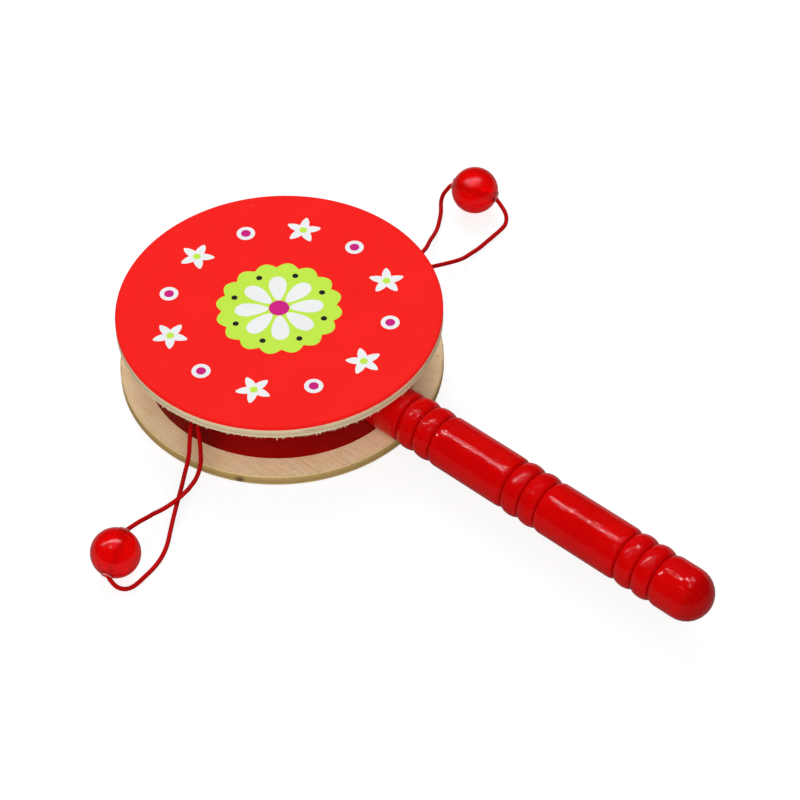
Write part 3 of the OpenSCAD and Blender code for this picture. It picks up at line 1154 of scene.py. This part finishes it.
@dataclass
class Bead:
    """One acrylic bead, with the frosted rims of its bore, painted pale as a highlight. Its
    sizes are in millimetres.

    Its cord runs straight through it for the length straight to each side of its middle, and
    then turns, outside the mouth, on the radius turn_r.
    """

    side: Side
    at: Point
    heading: float
    slope: float
    radius: float = 6.0
    rim_r: float = 1.15
    rim_t: float = 0.24
    rim_points: int = 36
    rim_sides: int = 8
    straight: float = 4.5
    turn_r: float = 2.4
    turn_steps: int = 3

    def bore_way(self) -> np.ndarray:
        """Return the direction of the bore."""
        h, s = math.radians(self.heading), math.radians(self.slope)
        return np.array((math.cos(s) * math.cos(h), math.cos(s) * math.sin(h), math.sin(s)))

    def mouth_turn(self, way: np.ndarray, into: Point) -> list[Point]:
        """Return the points at which the cord turns as it leaves the bead.

        Args:
            way: Direction of the bore towards this mouth.
            into: Direction into which the cord turns.

        Returns:
            Points of the turn, in millimetres.
        """
        into = np.array(into) / np.linalg.norm(into)
        angle = math.acos(float(way @ into))
        side = into - way * float(way @ into)
        side /= np.linalg.norm(side)
        turns = [angle * k / self.turn_steps for k in range(1, self.turn_steps + 1)]
        return [tuple(self.at + way * (self.straight + self.turn_r * math.sin(a))
                      + side * self.turn_r * (1 - math.cos(a))) for a in turns]

    def cord_points(self, before: Point, after: Point) -> list[Point]:
        """Return the points of the cord through the bead, with its turns at both mouths.

        Args:
            before: Direction from the first mouth back along the cord.
            after: Direction from the second mouth on along the cord.

        Returns:
            Points of the cord, in millimetres.
        """
        way = self.bore_way()
        inside = [tuple(np.array(self.at) + way * share * self.straight)
                  for share in (-1.0, -0.5, 0.0, 0.5, 1.0)]
        return self.mouth_turn(-way, before)[::-1] + inside + self.mouth_turn(way, after)

    def build(self, nodes: dict[str, bpy.types.Object], acrylic: bpy.types.Material,
              ground_and_highlight: bpy.types.Material) -> None:
        """Dress the bead and add the frosted rims at its two mouths, painted pale as a highlight.

        Args:
            nodes: Solids of the frame, by name.
            acrylic: Material of the bead.
            ground_and_highlight: Material of the rims.
        """
        name = f"{self.side.value}_bead"
        wear(nodes[name], acrylic)
        way = self.bore_way()
        side = np.cross(way, (0.0, 0.0, 1.0))
        side /= np.linalg.norm(side)
        up = np.cross(side, way)
        turns = np.linspace(0, 2 * math.pi, self.rim_points, endpoint=False)
        circle = self.rim_r * (np.outer(np.cos(turns), side) + np.outer(np.sin(turns), up))
        seat = math.sqrt(self.radius ** 2 - self.rim_r ** 2)
        rings = [(np.array(self.at) + way * end * seat + circle) * MM for end in (-1.0, 1.0)]
        # Frosted rims at both mouths, painted pale as a highlight
        rims = add_tube(f"{name}_bore_rims", rings, self.rim_t * MM, ground_and_highlight,
                        sides=self.rim_sides, closed=True)
        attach(rims, name)
        log.info("%s dressed", name)


def mm(points: Sequence[Point]) -> list[Point]:
    """Return points in metres from points in millimetres."""
    return [(x * MM, y * MM, z * MM) for x, y, z in points]


def left_cord(bead: Bead) -> CordLoop:
    """Return the cord at the left side.

    Args:
        bead: Bead that it runs through.

    Returns:
        The cord.
    """
    strand_a = mm([(3.1, -28.0, 10), (3.1, -31.5, 10), (3.1, -34.7, 10), (3.9, -36.2, 9.9),
                   (5.6, -38.4, 8.8), (7.7, -41.2, 6.5), (9.6, -44.9, 4.3), (11.4, -48, 3.4)])
    strand_b = mm([(4.9, -28.0, 10), (4.9, -31.5, 10), (4.9, -34.7, 10), (6.5, -36.1, 9.1),
                   (9, -38.4, 7.5), (11.6, -41.2, 6.5), (13.3, -44.6, 5.6), (13.9, -48, 5)])
    loop = mm([(13.9, -48, 5), (13.5, -51.5, 4.1), (11.9, -54.9, 2.4), (11.6, -57.4, 2.9),
               (12.1, -60.3, 4.3), (12.8, -63.5, 6.1),
               *bead.cord_points((-0.05, 0.91, -0.42), (0.95, -0.02, -0.42)),
               (19.8, -78.9, 2.2), (20.8, -78.4, 1.6), (21.7, -77.3, 1.1), (22.1, -75.9, 0.8),
               (22.2, -74.3, 0.7), (22.1, -72, 0.7), (21.8, -68.4, 0.7), (21, -65, 0.7),
               (19.4, -61.4, 0.8), (17.3, -57.9, 1.6), (15.5, -54.9, 2.4), (12.5, -50, 2.9),
               (11.4, -48, 3.4)])
    return CordLoop(Side.LEFT, knot_at=(4 * MM, -27.3 * MM, 10 * MM),
                    strands=(strand_a, strand_b), loop=loop, bend=-41.2 * MM, fold=-54.9 * MM)


def right_cord(bead: Bead) -> CordLoop:
    """Return the cord at the right side.

    Args:
        bead: Bead that it runs through.

    Returns:
        The cord.
    """
    strand_a = mm([(3.1, 28.0, 10), (3.1, 31.5, 10), (3.1, 34.7, 10), (3.2, 36.6, 9.6),
                   (3.7, 38.8, 8.3), (4.2, 41.3, 6.5), (4.2, 45.6, 4.9), (3.5, 48.4, 4.2)])
    strand_b = mm([(4.9, 28.0, 10), (4.9, 31.5, 10), (4.9, 34.7, 10), (5.3, 36.6, 9.6),
                   (6.4, 38.8, 8.3), (7.6, 41.3, 6.5), (9.2, 45.7, 5.3), (9.9, 48.4, 4.4)])
    loop = mm([(3.5, 48.4, 4.2), (2.4, 51.8, 3.3), (0.8, 55.2, 2.4), (-0.3, 57.8, 1.6),
               (-1.5, 60.5, 1.1), (-3.2, 63.4, 1.0), (-4.8, 65.8, 1.2), (-6.5, 67.9, 2.3),
               (-6.65, 69.0, 3.9),
               *bead.cord_points((-0.14, -0.5, -0.85), (0.82, -0.18, -0.54)),
               (8, 75, 4), (9.5, 74.5, 3.3), (10.7, 73.6, 2.6), (11.4, 72.3, 1.9),
               (11.4, 70.5, 1.3), (11.2, 68, 0.9), (11.1, 65.4, 0.7), (11.1, 62.3, 0.7),
               (11.1, 59, 1.2), (11.4, 55.2, 2.4), (10.8, 51.8, 3.4), (9.9, 48.4, 4.4)])
    return CordLoop(Side.RIGHT, knot_at=(4 * MM, 27.3 * MM, 10 * MM),
                    strands=(strand_a, strand_b), loop=loop, bend=41.3 * MM, fold=55.2 * MM)


def placed(place: Vector, x_way: Vector, y_way: Vector, z_way: Vector) -> Matrix:
    """Return the matrix of an object from its place and the directions of its axes.

    Args:
        place: Where the object is.
        x_way: Direction of its X axis.
        y_way: Direction of its Y axis.
        z_way: Direction of its Z axis.

    Returns:
        The matrix.
    """
    return Matrix.Translation(place) @ Matrix((
        (x_way.x, y_way.x, z_way.x, 0.0), (x_way.y, y_way.y, z_way.y, 0.0),
        (x_way.z, y_way.z, z_way.z, 0.0), (0.0, 0.0, 0.0, 1.0)))


@dataclass(frozen=True)
class RayLevels:
    """Levels that camera, glossy and transmission rays get. All other rays get 0."""

    camera: float
    glossy: float
    transmission: float

    def socket(self, tree: bpy.types.NodeTree) -> bpy.types.NodeSocket:
        """Add the levels to a node tree.

        Args:
            tree: Node tree of a world or a material.

        Returns:
            The level of the ray that asks.
        """
        path = tree.nodes.new("ShaderNodeLightPath")
        kinds = {"Is Camera Ray": self.camera, "Is Glossy Ray": self.glossy,
                 "Is Transmission Ray": self.transmission}
        highest = None
        for kind, level in kinds.items():
            scaled = tree.nodes.new("ShaderNodeMath")
            scaled.operation = "MULTIPLY"
            scaled.inputs[1].default_value = level
            tree.links.new(path.outputs[kind], scaled.inputs[0])
            if highest is None:
                highest = scaled.outputs[0]
                continue
            larger = tree.nodes.new("ShaderNodeMath")
            larger.operation = "MAXIMUM"
            tree.links.new(highest, larger.inputs[0])
            tree.links.new(scaled.outputs[0], larger.inputs[1])
            highest = larger.outputs[0]
        return highest


@dataclass(frozen=True)
class Lamp:
    """An area lamp over the drum, its long side across the camera's view.

    It hangs tilted from overhead, in degrees, away from the camera if the tilt is positive.
    Its size is the width across the view and the depth along it, and its shift is to the
    right of the view's middle. It makes highlights only, or light without highlights.
    """

    name: str
    tilt: float
    size: Spot
    power: float
    shift: float = 0.0
    gloss_only: bool = False


@dataclass
class Studio:
    """Camera, lamps, world and floor.

    The camera looks at the target from an azimuth, elevation and distance, with a roll, and
    sees what lies between nearest and farthest. Angles are in degrees.
    """

    target: Point = (36.33 * MM, 2.93 * MM, 10.0 * MM)
    azimuth: float = 42.21
    elevation: float = 47.15
    roll: float = -1.42
    distance: float = 0.8
    focal_px: float = 3318.0
    image_px: float = 800.0
    sensor_mm: float = 36.0
    nearest: float = 0.05
    farthest: float = 20.0
    lamp_reach: float = 0.85
    ambient: float = 0.38
    floor_half: float = 4.0
    floor_drop: float = 0.1 * MM
    floor_grey: float = 0.32
    floor_glow: RayLevels = RayLevels(0.775, 0.0, 0.60)
    world_glow: RayLevels = RayLevels(1.0, 0.05, 1.0)
    lamps: tuple[Lamp, ...] = (
        Lamp("key", 48.0, (0.7, 0.6), 4.6),
        Lamp("fill", -52.0, (1.0, 0.6), 5.0, -0.2),
        Lamp("far_strip", 13.0, (1.7, 0.012), 8.0, -0.35, gloss_only=True),
        Lamp("near_strip_left", -18.0, (0.36, 0.007), 0.6, -0.34, gloss_only=True),
        Lamp("near_strip_right", -12.0, (0.24, 0.006), 0.5, 0.16, gloss_only=True),
    )

    def camera(self) -> None:
        """Set up the camera at the photograph's viewpoint."""
        a, e, r = (math.radians(v) for v in (self.azimuth, self.elevation, self.roll))
        ahead = Vector((-math.sin(a) * math.cos(e), math.cos(a) * math.cos(e), -math.sin(e)))
        level = Vector((math.cos(a), math.sin(a), 0.0))
        above = level.cross(ahead)
        right = math.cos(r) * level + math.sin(r) * above
        up = -math.sin(r) * level + math.cos(r) * above
        data = bpy.data.cameras.new("photo_camera")
        data.sensor_width = self.sensor_mm
        data.lens = self.focal_px / self.image_px * data.sensor_width
        data.clip_start, data.clip_end = self.nearest, self.farthest
        camera = bpy.data.objects.new("photo_camera", data)
        place = Vector(self.target) - ahead * self.distance
        camera.matrix_world = placed(place, right, up, -ahead)
        bpy.context.scene.collection.objects.link(camera)
        bpy.context.scene.camera = camera

    def hang(self, lamp: Lamp) -> None:
        """Hang a lamp.

        Args:
            lamp: The lamp.
        """
        a, t = math.radians(self.azimuth), math.radians(lamp.tilt)
        across = Vector((math.cos(a), math.sin(a), 0.0))
        away = Vector((-math.sin(a), math.cos(a), 0.0))
        up = away * math.sin(t) + Vector((0.0, 0.0, 1.0)) * math.cos(t)
        data = bpy.data.lights.new(lamp.name, "AREA")
        data.shape = "RECTANGLE"
        (data.size, data.size_y), data.energy = lamp.size, lamp.power
        light = bpy.data.objects.new(lamp.name, data)
        place = Vector(self.target) + up * self.lamp_reach + across * lamp.shift
        light.matrix_world = placed(place, across, across.cross(-up), up)
        light.visible_diffuse, light.visible_glossy = not lamp.gloss_only, lamp.gloss_only
        bpy.context.scene.collection.objects.link(light)

    def world(self) -> None:
        """Make a soft white world, plain white where it is seen."""
        white_room = bpy.data.worlds.new("white_room")
        white_room.use_nodes = True
        tree = white_room.node_tree
        tree.nodes.clear()
        out = tree.nodes.new("ShaderNodeOutputWorld")
        mix = tree.nodes.new("ShaderNodeMixShader")
        lit, seen = (tree.nodes.new("ShaderNodeBackground") for _ in range(2))
        lit.inputs["Color"].default_value = (1.0, 1.0, 1.0, 1.0)
        lit.inputs["Strength"].default_value = self.ambient
        seen.inputs["Color"].default_value = (1.0, 1.0, 1.0, 1.0)
        tree.links.new(self.world_glow.socket(tree), seen.inputs["Strength"])
        tree.links.new(RayLevels(1.0, 1.0, 1.0).socket(tree), mix.inputs[0])
        tree.links.new(lit.outputs[0], mix.inputs[1])
        tree.links.new(seen.outputs[0], mix.inputs[2])
        tree.links.new(mix.outputs[0], out.inputs["Surface"])
        bpy.context.scene.world = white_room

    def floor(self) -> None:
        """Lay a pale floor that keeps the rattle's shadow."""
        material = bpy.data.materials.new("pale_floor")
        material.use_nodes = True
        tree = material.node_tree
        tree.nodes.clear()
        out = tree.nodes.new("ShaderNodeOutputMaterial")
        cloth = tree.nodes.new("ShaderNodeBsdfDiffuse")
        cloth.inputs["Color"].default_value = (*(self.floor_grey,) * 3, 1.0)
        glow = tree.nodes.new("ShaderNodeEmission")
        glow.inputs["Color"].default_value = (1.0, 1.0, 1.0, 1.0)
        tree.links.new(self.floor_glow.socket(tree), glow.inputs["Strength"])
        both = tree.nodes.new("ShaderNodeAddShader")
        tree.links.new(cloth.outputs[0], both.inputs[0])
        tree.links.new(glow.outputs[0], both.inputs[1])
        tree.links.new(both.outputs[0], out.inputs["Surface"])
        corners = np.array([(x * self.floor_half, y * self.floor_half, 0.0)
                            for x, y in ((-1, -1), (1, -1), (1, 1), (-1, 1))])
        floor = add_mesh("pale_floor", corners, [(0, 1, 2, 3)], material, smooth=False)
        floor.location.z = -self.floor_drop

    def build(self) -> None:
        """Set up the whole studio."""
        bpy.context.scene.view_settings.view_transform = "Standard"
        self.camera()
        self.world()
        self.floor()
        for lamp in self.lamps:
            self.hang(lamp)
        log.info("studio ready")


def main() -> None:
    """Load the frame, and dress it."""
    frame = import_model()
    Studio().build()
    left_bead = Bead(Side.LEFT, at=(15.2, -73.8, 6.0), heading=-70, slope=-22)
    right_bead = Bead(Side.RIGHT, at=(0.0, 73.7, 6.0), heading=24, slope=-9)
    cord = CordFinish().material()
    for loop in (left_cord(left_bead), right_cord(right_bead)):
        loop.build(cord)
    nodes = frame["nodes"]
    Drum().build(nodes)
    Handle().dress(nodes)
    acrylic, ground_and_highlight = AcrylicFinish().material(), GROUND_RIM_HIGHLIGHT.material()
    for bead in (left_bead, right_bead):
        bead.build(nodes, acrylic, ground_and_highlight)


if __name__ == "__main__":
    logging.basicConfig(level=logging.INFO, format="%(name)s: %(message)s")
    main()
